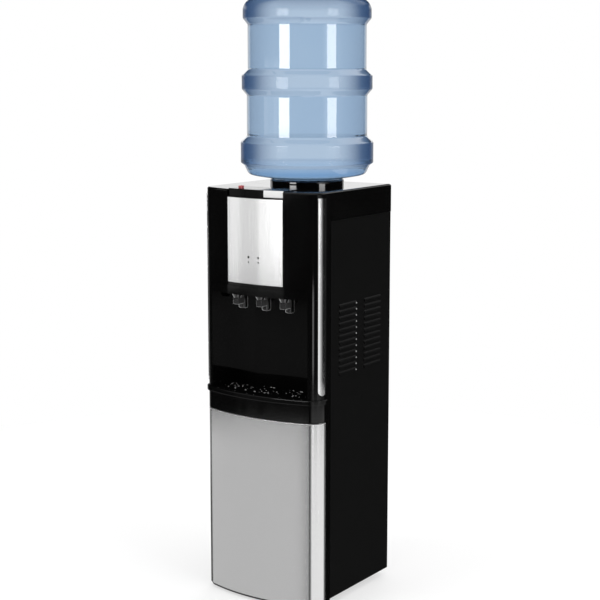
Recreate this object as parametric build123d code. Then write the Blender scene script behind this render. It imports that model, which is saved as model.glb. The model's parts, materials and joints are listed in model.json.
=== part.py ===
"""Top-loading floor water dispenser with three taps, a storage door and a five-gallon bottle."""
import os
from math import atan2, cos, hypot, pi, radians, sin, sqrt

from build123d import *

# All sizes in millimetres. +Z is up, the user stands on the -Y side, the floor is z = 0.

# Cabinet shell
body_width = 284.0
front_radius = 400.0
corner_radius = 30.0
shell_depth = 296.0
head_height = 212.0
moulding = 2.5
sheet = 1.2
shelf_lip = 4.0
condenser_stand = 44.0
seam_behind_door = 18.0
seam_gap = 0.3
flange_width = 12.0

# Clearances
running_fit = 0.05
face_gap = 0.3
slip_gap = 0.5
key_gap = 0.8

# Base and feet
plinth_lift = 5.0
foot_radius = 15.0
foot_taper = 2.0
foot_from_side = 56.0
foot_from_end = 34.0
base_plate = 3.2
base_rim = 20.0
base_inset = 3.0
side_lift = 10.5

# Top cover and bottle collar
cover_plate = 4.0
cover_skirt = 58.0
cover_overhang = 0.5
cover_hole_radius = 62.0
cover_edge_round = 4.5
collar_radius = 77.0
collar_height = 12.0
collar_well_radius = 36.0
collar_well_depth = 70.0
collar_wall = 3.0
collar_ports = 6
bottle_from_rear = 103.0
probe_radius = 9.0
probe_height = 44.0
probe_flange = 15.0
probe_round = 6.3

# Door
door_height = 381.0
door_straight = 0.64
door_floor_gap = 0.8
door_skin = 2.2
door_round = 1.4
door_liner_thick = 3.0
door_pad_depth = 1.2
door_pad_margin = 34.0
pin_radius = 3.0
pin_from_side = 7.0
pin_from_edge = 6.0
pin_boss_radius = 6.0
pin_boss_height = 16.0
pin_length = 13.0
pin_head_radius = 3.6
pin_head_height = 2.0
swing_clearance = 0.8
seal_width = 7.0
seal_margin = 2.0
magnet_width = 9.0
magnet_length = 40.0

# Dispensing bay
apron_gap = 2.0
apron_height = 46.0
apron_floor = 3.0
lip_height = 10.0
lip_round = 1.5
bay_height = 202.0
bay_post = 24.0
bay_depth = 95.0
tray_pocket = 26.0
tray_wall = 2.0
tray_ledge = 4.0
grille_thick = 2.5
grille_bar = 5.0
slot_length = 22.0
slot_width = 5.0

# Upper front, panel and lamps
panel_width = 134.0
panel_from_top = 14.0
panel_lift = 24.5
panel_thick = 1.6
hood_height = 18.0
hood_out = 2.0
lamp_spacing = 24.0
lamp_radius = 2.2
lamp_rise = 54.0
board_width = 60.0
board_height = 24.0
board_thick = 1.6
board_stand = 6.0

# Chrome corner strips
strip_width = 20.0
strip_thick = 1.2
strip_turn = 71.0
strip_clear_low = 9.0
strip_clear_top = 7.0

# Taps, keys and push rods
tap_pitch = 58.0
nozzle_radius = 9.5
nozzle_drop = 34.0
nozzle_round = 3.0
nozzle_bore = 5.0
nozzle_setback = 45.0
rod_setback = 25.0
rod_radius = 3.0
rod_head_radius = 5.0
rod_head_height = 4.0
rod_head_round = 2.5
bush_top_radius = 12.0
bush_low_radius = 7.5
bush_height = 10.0
valve_width = 14.0
valve_height = 14.0
valve_round = 2.0
shank_radius = 8.0
shank_height = 28.0
nut_across = 22.0
nut_height = 7.0
tube_radius = 5.0
tube_bend = 16.0
tube_drop_gap = 12.5
key_rise = 1.6
key_thick = 5.0
key_inset = 3.3
key_skirt = 20.0
key_skirt_thick = 2.4
key_pivot_setback = 60.0
key_tail = 7.0
key_barrel_radius = 4.5
key_pivot_drop = 9.0
shaft_radius = 2.0
shaft_ear = 5.0
lock_width = 8.0
lock_length = 10.0
lock_height = 4.0
lock_travel = 3.0
lock_neck = 4.0
lock_round = 1.2

# Storage box
storage_post = 32.0
storage_floor = 32.0
storage_header = 18.0
storage_flange = 8.0
shelf_thick = 1.5

# Side louvres
louvre_count = 12
louvre_pitch = 12.6
louvre_length = 65.0
louvre_bulge = 2.2
louvre_curve = 12.0
louvre_skin = 0.9
louvre_lift = 40.0
louvre_setbacks = (96.0, 192.0)

# Tanks
tank_radius = 74.0
tank_wall = 1.5
foam_wall = 18.0
foam_floor = 15.0
hot_radius = 50.0
hot_height = 130.0
hot_skirt = 12.0
hot_x = -30.0
hot_from_rear = 84.0
hot_stub_radius = 6.0
hot_stub_height = 14.0
band_width = 40.0
band_thick = 3.0

# Refrigeration
pot_radius = 58.0
pot_height = 140.0
pot_dome = 40.0
pot_x = -18.0
pot_gap_rear = 4.0
pot_gap_front = 4.5
pot_band = 2.0
pot_band_height = 6.0
terminal_depth = 20.0
terminal_width = 44.0
terminal_height = 52.0
terminal_lift = 34.0
terminal_round = 5.0
mount_radius = 9.0
mount_height = 14.0
pot_plate = 3.0
pot_plate_width = 150.0
pot_plate_depth = 92.0
pass_count = 11
pass_pitch = 38.0
coil_margin = 47.0
coil_tube_radius = 2.4
coil_lift = 100.0
wire_radius = 0.8
wire_count = 25
wire_pitch = 8.0
wire_overrun = 10.0
weld_gap = 0.04
bracket_width = 14.0
bracket_thick = 2.0
drier_radius = 9.0
drier_length = 80.0
drier_neck = 7.9
drier_lip = 0.6
outlet_offset = 28.0
outlet_drop = 70.0
stub_height = 8.0
discharge_drop = 26.0
discharge_offset = 16.0
discharge_bend = 14.0

# Rear fittings
back_bottom = 230.0
bead_depth = 1.0
bead_width = 16.0
port_from_side = 50.0
switch_drop = 32.0
switch_pitch = 20.0
bezel_margin = 5.0
bezel_thick = 4.0
rocker_width = 12.0
rocker_height = 17.0
rocker_depth = 6.0
rocker_proud = 2.4
rocker_dip = 1.2
rocker_tilt = 7.0
rocker_pin = 1.0
drain_lift = 34.0
drain_radius = 8.0
drain_flange = 14.0
drain_length = 24.0
drain_cap_radius = 11.5
drain_cap_length = 17.0
cap_grooves = 12
cap_groove_radius = 1.0
gland_radius = 9.0
gland_flange = 13.0
gland_hole = 4.5
screw_radius = 3.6
screw_head = 2.0
screw_rows = 4

# Bottle, heights taken from its seat on the collar
band_radii = (137.6, 134.9, 132.1)
band_starts = (33.0, 184.0, 327.0)
band_ends = (75.6, 212.0)
waist_radii = (124.6, 122.3)
band_slope = 12.0
band_round = 4.0
shoulder_slope = 0.183
shoulder_radius = 121.5
shoulder_round = 12.0
step_radius = 130.4
step_drop = 4.8
step_round = 3.0
bottle_height = 368.0
neck_part = 40.0
base_part = 17.0
base_round = 25.0
base_ring = 96.0
base_dish = 7.0
bottle_wall = 1.8
neck_round = 4.0
neck_radius = 27.5
neck_length = 56.0
cap_wall = 2.0
cap_round = 1.5
cap_length = 22.0
cap_hole_clear = 2.0
bottle_seat_gap = 0.4

# Positions worked out from the sizes above
overall_depth = shelf_lip + shell_depth + condenser_stand
y_apex = shelf_lip - overall_depth / 2
y_rear = y_apex + shell_depth
half_width = body_width / 2
corner_x = half_width - corner_radius
arc_y = y_apex + front_radius
corner_y = arc_y - sqrt((front_radius - corner_radius) ** 2 - corner_x**2)
y_door = corner_y + door_straight
y_seam = y_door + seam_behind_door
plinth_top = plinth_lift + base_plate
door_bottom = plinth_top + door_floor_gap
door_top = door_bottom + door_height
apron_bottom = door_top + apron_gap
bay_floor = apron_bottom + apron_height
bay_top = bay_floor + bay_height
cabinet_height = bay_top + head_height
bay_width = body_width - 2 * bay_post
storage_width = body_width - 2 * storage_post
side_bottom = plinth_lift + side_lift
deck_bottom = side_bottom + face_gap
deck_top = deck_bottom + base_plate
y_deck = y_seam + seam_gap + sheet + face_gap
cover_seam = cabinet_height - cover_skirt
cover_under = cabinet_height - cover_plate
pin_x = half_width - pin_from_side
pin_y = y_door - pin_from_edge
door_gap = hypot(pin_from_side, pin_from_edge) - pin_from_edge + swing_clearance
y_face = y_door + door_gap
y_bay = y_apex + bay_depth
y_back = y_rear - 2 * sheet - face_gap
y_bottle = y_rear - bottle_from_rear
panel_bottom = bay_top + panel_lift
panel_top = cabinet_height - panel_from_top
z_lamp = panel_bottom + lamp_rise
tap_x = {"hot": -tap_pitch, "room": 0.0, "cold": tap_pitch}
y_nozzle = y_apex + nozzle_setback
y_rod = y_apex + rod_setback
ceiling_top = bay_top + moulding
shank_top = bay_top + shank_height
key_width = (panel_width - 2 * key_gap) / 3
key_x = {"hot": -key_width - key_gap, "room": 0.0, "cold": key_width + key_gap}
key_top = cabinet_height + key_rise
key_under = key_top - key_thick
y_pivot = y_apex + key_pivot_setback
z_pivot = key_top - key_pivot_drop
storage_top = apron_bottom - storage_header
shelf_z = storage_top + moulding
well_bottom = cabinet_height - collar_well_depth
tank_top = well_bottom - face_gap
tank_base = ceiling_top + face_gap + foam_floor
tube_level = (tank_base + tank_top) / 2
hot_y = y_rear - hot_from_rear
louvre_bottom = bay_floor + louvre_lift
y_pot = y_rear - pot_gap_rear - pot_radius
pot_base = deck_top + mount_height
storage_back = y_pot - pot_radius - pot_band - pot_gap_front
pass_length = body_width - 2 * coil_margin
coil_bottom = back_bottom + coil_lift
coil_y = y_rear + condenser_stand - drier_radius
coil_top = coil_bottom + (pass_count - 1) * pass_pitch
drier_top = coil_bottom - outlet_drop
y_sheet = y_back + sheet
port_x = half_width - port_from_side
switch_x = {"hot": port_x, "cold": port_x + switch_pitch}
switch_z = cover_seam - switch_drop
drain_z = back_bottom + drain_lift
seat_z = cabinet_height + collar_height + bottle_seat_gap
seat_radius = collar_radius - 2 * collar_wall
neck_mouth = seat_z - (seat_radius - neck_radius) * shoulder_slope - neck_length
bottle_top = seat_z + bottle_height

os.makedirs("parts", exist_ok=True)


def save(name, shape):
    shape.label = name
    export_step(shape, f"parts/{name}.step")


def block(x0, x1, y0, y1, z0, z1):
    return Pos((x0 + x1) / 2, (y0 + y1) / 2, (z0 + z1) / 2) * Box(x1 - x0, y1 - y0, z1 - z0)


def wide(half, y0, y1, z0, z1):
    return block(-half, half, y0, y1, z0, z1)


def upright(radius, x, y, z0, z1):
    return Pos(x, y, (z0 + z1) / 2) * Cylinder(radius, z1 - z0)


def along_y(radius, x, z, y0, y1):
    return Pos(x, (y0 + y1) / 2, z) * Rot(90, 0, 0) * Cylinder(radius, y1 - y0)


def along_x(radius, y, z, x0, x1):
    return Pos((x0 + x1) / 2, y, z) * Rot(0, 90, 0) * Cylinder(radius, x1 - x0)


def front_y(x, inset=0.0):
    return arc_y - sqrt((front_radius - inset) ** 2 - x**2)


def outline(inset, y_end):
    """Plan of the shell: bowed front, round corners and straight sides back to y_end."""
    half = half_width - inset
    bow = front_radius - inset
    turn = corner_radius - inset
    lean = atan2(corner_x, arc_y - corner_y)
    middle = (lean + pi / 2) / 2

    def on_bow(angle):
        return (bow * sin(angle), arc_y - bow * cos(angle))

    def on_corner(angle, side):
        return (side * (corner_x + turn * sin(angle)), corner_y - turn * cos(angle))

    left, right = on_bow(-lean), on_bow(lean)
    edges = [
        Line((-half, y_end), (-half, corner_y)),
        ThreePointArc((-half, corner_y), on_corner(middle, -1), left),
        ThreePointArc(left, on_bow(0), right),
        ThreePointArc(right, on_corner(middle, 1), (half, corner_y)),
        Line((half, corner_y), (half, y_end)),
        Line((half, y_end), (-half, y_end)),
    ]
    return make_face(edges)


def slab(inset, y_end, z0, z1):
    return Pos(0, 0, z0) * extrude(outline(inset, y_end), z1 - z0, dir=(0, 0, 1))


def rounded_slab(inset, y_end, z0, z1, radius):
    """Slab whose upper and lower front edges are rounded over."""
    body = slab(inset, y_end, z0, z1)
    levels = body.faces().sort_by(Axis.Z)
    rims = [e for face in (levels[0], levels[-1]) for e in face.edges() if e.center().Y < y_end - 1]
    return fillet(rims, radius)


def front_shell(thick, y_end, z0, z1):
    """Front wall with both round corners and side returns, open behind."""
    return slab(0, y_end, z0, z1) - slab(thick, y_end + 1, z0 - 1, z1 + 1)


def pipe(points, radius, bend):
    path = FilletPolyline(*points, radius=bend)
    start = Plane(origin=path @ 0, z_dir=path % 0)
    return sweep(start * Circle(radius), path)


def mirrored(shape):
    return mirror(shape, about=Plane.YZ)


def base_tray():
    """Plinth under the door, stepped up behind it to the deck that carries the machine."""
    inner = sheet + face_gap
    y_step = y_deck + moulding
    rim_top = deck_top + base_rim
    tray = slab(base_inset, y_step, plinth_lift, plinth_top)
    tray += wide(half_width - base_inset, y_deck, y_step, plinth_lift, deck_top)
    deck = wide(half_width - inner, y_deck, y_rear - inner, deck_bottom, rim_top)
    room = half_width - inner - moulding
    deck -= wide(room, y_deck - 1, y_rear - inner - moulding, deck_top, rim_top + 1)
    return tray + deck


def feet():
    spots = [(sx * (half_width - foot_from_side), y)
             for sx in (-1, 1) for y in (y_deck + foot_from_end, y_rear - foot_from_end)]
    foot = Cone(foot_radius - foot_taper, foot_radius, deck_bottom)
    return Compound([Pos(x, y, deck_bottom / 2) * foot for x, y in spots])


def louvre(y0, z0, inset):
    """One pressed hood, open along its lower edge; inset shrinks it to its inside."""
    centre = half_width + louvre_bulge - louvre_curve
    bar = Pos(centre, y0 + louvre_length / 2, z0) * Rot(90, 0, 0)
    bar *= Cylinder(louvre_curve - inset, louvre_length - 2 * inset)
    y1 = y0 + louvre_length
    x0 = half_width - sheet - inset
    return bar & block(x0, half_width + louvre_bulge, y0, y1, z0, z0 + louvre_curve)


def side_panel():
    z0, z1 = side_bottom, cover_seam - face_gap
    y0 = y_seam + seam_gap
    x0 = half_width - sheet
    panel = block(x0, half_width, y0, y_rear, z0, z1)
    for y in (y0, y_rear - sheet):
        panel += block(half_width - flange_width, half_width, y, y + sheet, z0, z1)
    spots = [(y_apex + back, louvre_bottom + row * louvre_pitch)
             for back in louvre_setbacks for row in range(louvre_count)]
    panel += [louvre(y, z, 0) for y, z in spots]
    panel -= [louvre(y, z, louvre_skin) for y, z in spots]
    return panel


def back_panel():
    half = half_width - sheet - face_gap
    z1 = cover_seam - face_gap
    panel = wide(half, y_back, y_back + sheet, back_bottom, z1)
    bead_x = half / 3
    for x in (-bead_x, bead_x):
        z0 = back_bottom + bead_width
        rise = z1 - bead_width
        crest = bead_width / 2
        groove = crest - bead_depth
        panel += block(x - crest, x + crest, y_back - bead_depth, y_back, z0, rise)
        panel -= block(x - groove, x + groove, y_back, y_sheet, z0 + bead_depth, rise - bead_depth)
    half_w, half_h = rocker_width / 2 + slip_gap, rocker_height / 2 + 2 * slip_gap
    for x in switch_x.values():
        panel -= block(x - half_w, x + half_w, y_back - 1, y_rear, switch_z - half_h, switch_z + half_h)
    panel -= along_y(drain_radius, -port_x, drain_z, y_back - 1, y_rear)
    panel -= along_y(gland_radius, port_x, drain_z, y_back - 1, y_rear)
    return panel


def key_window(z0, z1):
    """Space over the panel that the three keys work in."""
    half = panel_width / 2 + key_gap
    return wide(half, y_apex - 2 * shelf_lip, y_pivot + key_tail + key_gap, z0, z1)


def top_cover():
    out = -cover_overhang
    rear = y_rear + cover_overhang
    cover = slab(out, rear, cover_seam, cabinet_height)
    rims = cover.faces().sort_by(Axis.Z)[-1].edges()
    cover = fillet(rims, cover_edge_round)
    inside = slab(out + moulding, rear - moulding, cover_seam - 1, cover_under)
    nose = wide(body_width, y_apex - 2 * shelf_lip, y_seam + seam_gap, cover_seam - 1, cover_under)
    cover -= inside
    cover -= nose
    cover -= key_window(cover_under - 1, cabinet_height + 1)
    cover -= upright(cover_hole_radius, 0, y_bottle, cover_under - 1, cabinet_height + 1)
    ear_x = panel_width / 2 + key_gap
    for x0 in (-ear_x - shaft_ear, ear_x):
        y0, y1 = y_pivot - shaft_ear, y_pivot + shaft_ear
        cover += block(x0, x0 + shaft_ear, y0, y1, z_pivot - shaft_ear, cover_under)
    cover -= along_x(shaft_radius + running_fit, y_pivot, z_pivot, -half_width, half_width)
    return cover


def bottle_collar():
    """Ring on the cover, funnel inside it and the deep well for the bottle's neck."""
    top = cabinet_height + collar_height
    well = collar_well_radius
    spigot = cover_hole_radius - face_gap
    under = cabinet_height - collar_wall
    points = [
        (0, well_bottom), (well + collar_wall, well_bottom), (well + collar_wall, under),
        (spigot, under), (spigot, cabinet_height),
        (collar_radius, cabinet_height), (collar_radius, top - collar_wall),
        (collar_radius - collar_wall, top), (collar_radius - 2 * collar_wall, top),
        (well, cabinet_height), (well, well_bottom + collar_wall), (0, well_bottom + collar_wall),
    ]
    profile = make_face(Polyline(*points, close=True))
    collar = Pos(0, y_bottle, 0) * revolve(Plane.XZ * profile, Axis.Z)
    tool = Pos(well - 2 * nozzle_bore, 0, 0) * Cylinder(nozzle_bore, 4 * collar_wall)
    floor = Pos(0, y_bottle, well_bottom)
    return collar - [floor * Rot(0, 0, step * 360 / collar_ports) * tool for step in range(collar_ports)]


def feed_probe():
    floor = well_bottom + collar_wall
    tip = floor + probe_height
    probe = upright(probe_radius, 0, y_bottle, floor, tip)
    probe = fillet(probe.faces().sort_by(Axis.Z)[-1].edges(), probe_round)
    probe += upright(probe_flange, 0, y_bottle, floor, floor + collar_wall)
    y0, y1 = y_bottle - probe_radius, y_bottle + probe_radius
    return probe - wide(probe_radius / 3, y0, y1, tip - probe_height / 2, tip - probe_radius)


def cold_tank():
    z0 = tank_base
    tank = upright(tank_radius, 0, y_bottle, z0, tank_top)
    tank = fillet(tank.faces().sort_by(Axis.Z)[0].edges(), foam_floor)
    tank -= upright(tank_radius - tank_wall, 0, y_bottle, z0 + foam_floor, tank_top - tank_wall)
    return tank - upright(collar_well_radius - collar_wall, 0, y_bottle, z0 + foam_floor, tank_top + 1)


def tank_foam():
    outer = upright(tank_radius + foam_wall, 0, y_bottle, tank_base - foam_floor, tank_top)
    return outer - upright(tank_radius + face_gap, 0, y_bottle, tank_base - face_gap, tank_top + 1)


def hot_tank():
    z0 = shelf_z + shelf_thick
    z1 = z0 + hot_skirt
    z2 = z1 + hot_height
    dome = hot_radius / 3
    can = upright(hot_radius, hot_x, hot_y, z1, z2)
    can = fillet(can.faces().sort_by(Axis.Z)[-1].edges(), dome)
    room = upright(hot_radius - tank_wall, hot_x, hot_y, z1 + tank_wall, z2 - tank_wall)
    room = fillet(room.faces().sort_by(Axis.Z)[-1].edges(), dome - tank_wall)
    room += upright(hot_stub_radius - tank_wall, hot_x, hot_y, z1 + tank_wall, z2 + hot_stub_height + 1)
    z_band = (z1 + z2 - band_width) / 2
    can += upright(hot_radius + band_thick, hot_x, hot_y, z_band, z_band + band_width)
    skirt = upright(hot_radius - dome, hot_x, hot_y, z0, z1)
    skirt -= upright(hot_radius - dome - moulding, hot_x, hot_y, z0 - 1, z1)
    stub = upright(hot_stub_radius, hot_x, hot_y, z2 - 1, z2 + hot_stub_height)
    return can + skirt + stub - room


def front_frame():
    """Posts beside the bay, apron under it, and the flat face the door closes on."""
    top = bay_top - seam_gap
    frame = front_shell(moulding, y_seam, side_bottom, top)
    frame -= wide(body_width, y_apex - 1, y_face, 0, apron_bottom)
    face = slab(moulding, y_face + moulding, side_bottom, apron_bottom)
    face -= wide(body_width, y_apex - 1, y_face, 0, apron_bottom + 1)
    face -= wide(storage_width / 2, y_apex, y_rear, storage_floor, storage_top)
    apron_deck = slab(moulding, y_face + moulding, apron_bottom, apron_bottom + apron_floor)
    lip = rounded_slab(-shelf_lip, y_door, bay_floor - lip_height, bay_floor, lip_round)
    lip -= slab(moulding, y_seam, 0, cabinet_height)
    frame += face + apron_deck + lip
    frame -= wide(bay_width / 2, y_apex - 2 * shelf_lip, y_door, bay_floor, cabinet_height)
    socket = pin_radius + running_fit
    return frame - upright(socket, pin_x, pin_y, apron_bottom - 1, apron_bottom + apron_floor + 1)


def upper_fascia():
    fascia = front_shell(moulding, y_seam, bay_top, cover_under)
    hood = slab(-hood_out, y_seam, bay_top, bay_top + hood_height)
    hood -= slab(0, y_seam + 1, 0, cabinet_height)
    hood &= wide(bay_width / 2, y_apex - 2 * shelf_lip, y_seam, bay_top, bay_top + hood_height)
    fascia += hood
    half = panel_width / 2
    recess = slab(-1, y_seam, panel_bottom, panel_top) - slab(panel_thick, y_seam + 1, 0, cabinet_height)
    fascia -= recess & wide(half, y_apex - 2 * shelf_lip, y_seam, panel_bottom, panel_top)
    fascia -= key_window(panel_top, cover_under + 1)
    for x in (-lamp_spacing / 2, lamp_spacing / 2):
        fascia -= along_y(lamp_radius + running_fit, x, z_lamp, y_apex - 1, y_apex + 4 * moulding)
    for x in (-board_width / 2 + board_stand, board_width / 2 - board_stand):
        fascia += along_y(board_stand / 2, x, z_lamp, y_apex + moulding, y_apex + moulding + board_stand)
    return fascia


def control_panel():
    half = panel_width / 2
    plate = slab(0, y_seam, panel_bottom, panel_top) - slab(panel_thick, y_seam + 1, 0, cabinet_height)
    plate &= wide(half, y_apex - 1, y_seam, panel_bottom, panel_top)
    for x in (-lamp_spacing / 2, lamp_spacing / 2):
        plate -= along_y(lamp_radius + running_fit, x, z_lamp, y_apex - 1, y_apex + 4 * moulding)
    return plate


def led_lenses():
    tip = y_apex - lamp_radius / 2
    lamps = []
    for x in (-lamp_spacing / 2, lamp_spacing / 2):
        lamp = along_y(lamp_radius, x, z_lamp, tip, y_apex + moulding + board_stand)
        lamps.append(fillet(lamp.faces().sort_by(Axis.Y)[0].edges(), lamp_radius / 2))
    return Compound(lamps)


def led_board():
    y0 = y_apex + moulding + board_stand
    half_h = board_height / 2
    return wide(board_width / 2, y0, y0 + board_thick, z_lamp - half_h, z_lamp + half_h)


def trim_strip():
    """Half-round chrome bead bent round the front corner, with a rounded lower end."""
    z0 = bay_floor + strip_clear_low
    z1 = cover_under - strip_clear_top
    angle = radians(strip_turn)
    band = slab(-strip_thick, y_seam, z0, z1) - slab(-running_fit, y_seam + 1, z0 - 1, z1 + 1)
    middle = Plane(origin=(corner_x, corner_y, (z0 + z1) / 2), x_dir=(cos(angle), sin(angle), 0),
                   z_dir=(sin(angle), -cos(angle), 0))
    face = middle * SlotOverall(z1 - z0, strip_width, rotation=90)
    upper = middle * (Pos(0, (z1 - z0) / 4) * Rectangle(strip_width, (z1 - z0) / 2))
    reach = 2 * corner_radius
    return band & (extrude(face, reach) + extrude(upper, reach))


def bay_liner():
    half = bay_width / 2
    z0 = bay_floor - tray_pocket
    outer = wide(half + moulding, y_apex, y_bay + moulding, z0 - moulding, ceiling_top)
    inner = wide(half, y_apex - 1, y_bay, z0, bay_top)
    liner = (outer - inner) & slab(moulding + face_gap, y_seam + bay_depth, 0, cabinet_height)
    for x in tap_x.values():
        liner -= upright(shank_radius + running_fit, x, y_nozzle, bay_top - 1, ceiling_top + 1)
        liner -= upright(rod_radius + slip_gap, x, y_rod, bay_top - 1, ceiling_top + 1)
    return liner


def tap(x):
    """Spout with its shank through the ceiling and the valve block that the rod presses."""
    z_tip = bay_top - nozzle_drop
    spout = upright(nozzle_radius, x, y_nozzle, z_tip, bay_top)
    spout = fillet(spout.faces().sort_by(Axis.Z)[0].edges(), nozzle_round)
    spout += upright(shank_radius, x, y_nozzle, bay_top, shank_top)
    z_bush = bay_top - bush_height
    bush = Cone(bush_low_radius, bush_top_radius, bush_height)
    spout += Pos(x, y_rod, bay_top - bush_height / 2) * bush
    half = valve_width / 2
    valve = block(x - half, x + half, y_rod - half, y_nozzle, z_bush - valve_height, z_bush)
    front = valve.faces().sort_by(Axis.Y)[0].edges()
    spout += fillet(front + valve.faces().sort_by(Axis.Z)[0].edges().filter_by(Axis.Y), valve_round)
    spout -= upright(nozzle_bore, x, y_nozzle, z_tip - 1, z_tip + nozzle_drop / 2)
    return spout - upright(rod_radius + slip_gap, x, y_rod, z_bush - valve_height / 2, bay_top + 1)


def tap_nuts():
    nuts = []
    for x in tap_x.values():
        face = RegularPolygon(nut_across / 2, 6, major_radius=False) - Circle(shank_radius + running_fit)
        nuts.append(Pos(x, y_nozzle, ceiling_top) * extrude(face, nut_height))
    return Compound(nuts)


def push_rod(x):
    z0 = bay_top - bush_height
    z1 = key_under - slip_gap
    head = upright(rod_head_radius, x, y_rod, z1 - rod_head_height, z1)
    head = fillet(head.faces().sort_by(Axis.Z)[-1].edges(), rod_head_round)
    return head + upright(rod_radius, x, y_rod, z0, z1 - rod_head_height)


def tap_tube(x, points=()):
    ends = points or [(x, foam_front(x) - face_gap, tube_level)]
    return pipe([(x, y_nozzle, shank_top), (x, y_nozzle, tube_level), *ends], tube_radius, tube_bend)


def foam_front(x):
    """Nearest foam surface to a tube that runs straight back at x."""
    reach = max(abs(x) - tube_radius, 0)
    return y_bottle - sqrt((tank_radius + foam_wall) ** 2 - reach**2)


def hot_tube():
    """Runs back over the bay, drops between the bay and the foam, then reaches the can's stub."""
    x = tap_x["hot"]
    y_drop = y_bay + moulding + tube_drop_gap
    reach = tank_radius + foam_wall + tube_radius + face_gap
    x_drop = -sqrt(max(reach**2 - (y_bottle - y_drop) ** 2, x**2))
    stub = shelf_z + shelf_thick + hot_skirt + hot_height + hot_stub_height
    z_run = stub + 2 * tube_bend
    down = [(x_drop, y_drop, tube_level), (x_drop, y_drop, z_run)]
    return tap_tube(x, [*down, (hot_x, hot_y, z_run), (hot_x, hot_y, stub)])


def key(name):
    """Bowed push key: top plate, front skirt behind the panel edge and hinge barrel."""
    half = key_width / 2
    x = key_x[name]
    z0 = key_top - key_skirt
    rear = y_pivot + key_tail
    plate = slab(key_inset, rear, key_under, key_top)
    behind = slab(key_inset + key_skirt_thick, rear + 1, z0 - 1, key_top)
    skirt = slab(key_inset, rear, z0, key_top) - behind
    cap = (plate + skirt) & block(x - half, x + half, y_apex, rear, z0, key_top)
    front = cap.faces().filter_by(Axis.Z).sort_by(Axis.Z)[-1].edges().sort_by(Axis.Y)[0]
    cap = fillet(front, key_rise)
    x0, x1 = x - half + moulding, x + half - moulding
    y0, y1 = y_pivot - key_barrel_radius, y_pivot + key_barrel_radius
    cap += block(x0, x1, y0, y1, z_pivot, key_under)
    cap += along_x(key_barrel_radius, y_pivot, z_pivot, x0, x1)
    cap -= along_x(shaft_radius + running_fit, y_pivot, z_pivot, x - half, x + half)
    if name == "hot":
        cap -= lock_slot()
    return cap


def lock_centre():
    return key_x["hot"] - key_width / 8, y_apex + key_pivot_setback / 2


def lock_slot():
    x, y = lock_centre()
    half = lock_neck / 2 + face_gap
    return block(x - half, x + half, y - half, y + half + lock_travel, key_under - 1, key_top + 1)


def child_lock():
    x, y = lock_centre()
    z0 = key_top + face_gap
    wide_half, long_half = lock_width / 2, lock_length / 2
    head = block(x - wide_half, x + wide_half, y - long_half, y + long_half, z0, z0 + lock_height)
    head = fillet(head.edges().filter_by(Axis.Z) + head.faces().sort_by(Axis.Z)[-1].edges(), lock_round)
    half = lock_neck / 2
    return head + block(x - half, x + half, y - half, y + half, key_under, z0)


def key_shaft():
    reach = panel_width / 2 + key_gap + shaft_ear
    return along_x(shaft_radius, y_pivot, z_pivot, -reach, reach)


def tray_plan(gap, z0, z1):
    half = bay_width / 2 - slip_gap - gap
    body = slab(moulding + slip_gap + gap, y_bay, z0, z1)
    return body & wide(half, y_apex, y_bay - slip_gap - gap, z0, z1)


def drip_tray():
    z0 = bay_floor - tray_pocket + face_gap
    z1 = bay_floor - face_gap
    z_step = z1 - grille_thick - face_gap
    tray = tray_plan(0, z0, z1) - tray_plan(tray_wall + tray_ledge, z0 + tray_wall, z1 + 1)
    return tray - tray_plan(tray_wall, z_step, z1 + 1)


def drip_grille():
    """Grating with short slots in rows that follow the bowed front."""
    z1 = bay_floor - face_gap
    plate = tray_plan(tray_wall + face_gap, z1 - grille_thick, z1)
    room = bay_width - 2 * (tray_wall + tray_ledge + slip_gap)
    columns = int(room // (slot_length + grille_bar))
    rows = int((bay_depth - moulding - 4 * (tray_wall + tray_ledge)) // (slot_width + grille_bar))
    tool = extrude(SlotOverall(slot_length, slot_width), 2 * grille_thick)
    tool = Pos(0, 0, z1 - grille_thick - 1) * tool
    cuts = []
    for row in range(rows):
        for column in range(columns):
            x = (column - (columns - 1) / 2) * (slot_length + grille_bar)
            y = y_bay - 2 * (tray_wall + tray_ledge) - (row + 0.5) * (slot_width + grille_bar)
            lead = (front_y(x) - y_apex) * row / rows
            cuts.append(Pos(x, y + lead, 0) * tool)
    return plate - cuts


def door_panel():
    skin = rounded_slab(0, y_door, door_bottom, door_top, door_round)
    skin -= slab(door_skin, y_door + 1, door_bottom + door_skin, door_top - door_skin)
    for z0 in (door_bottom, door_top - pin_boss_height):
        z1 = z0 + pin_boss_height
        boss = upright(pin_boss_radius, pin_x, pin_y, z0 + door_skin / 2, z1 - door_skin / 2)
        skin += boss & slab(door_skin / 2, y_door, door_bottom, door_top)
    for z0 in (door_bottom, door_top - pin_boss_height):
        skin -= upright(pin_radius + running_fit, pin_x, pin_y, z0 - 1, z0 + pin_boss_height + 1)
    return skin


def door_liner():
    z0, z1 = door_bottom + door_skin, door_top - door_skin
    y0 = y_door - door_liner_thick
    plate = slab(door_skin, y_door, z0, z1) - wide(body_width, y_apex, y0, 0, door_top)
    pad = half_width - door_pad_margin - seal_width
    plate -= wide(pad, y_door - door_pad_depth, y_door + 1, z0 + door_pad_margin, z1 - door_pad_margin)
    for z in (door_bottom, door_top - pin_boss_height):
        plate -= upright(pin_boss_radius + face_gap, pin_x, pin_y, z - 1, z + pin_boss_height + 1)
    return plate


def door_seal():
    half = storage_width / 2 + seal_margin
    z0, z1 = storage_floor - seal_margin, storage_top + seal_margin
    y1 = y_face - face_gap
    ring = wide(half + seal_width, y_door, y1, z0 - seal_width, z1 + seal_width)
    return ring - wide(half, y_door - 1, y1 + 1, z0, z1)


def hinge_pin_top():
    z1 = apron_bottom + apron_floor
    post = upright(pin_radius, pin_x, pin_y, door_top - pin_length, z1)
    return post + upright(pin_head_radius, pin_x, pin_y, z1, z1 + pin_head_height)


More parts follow.
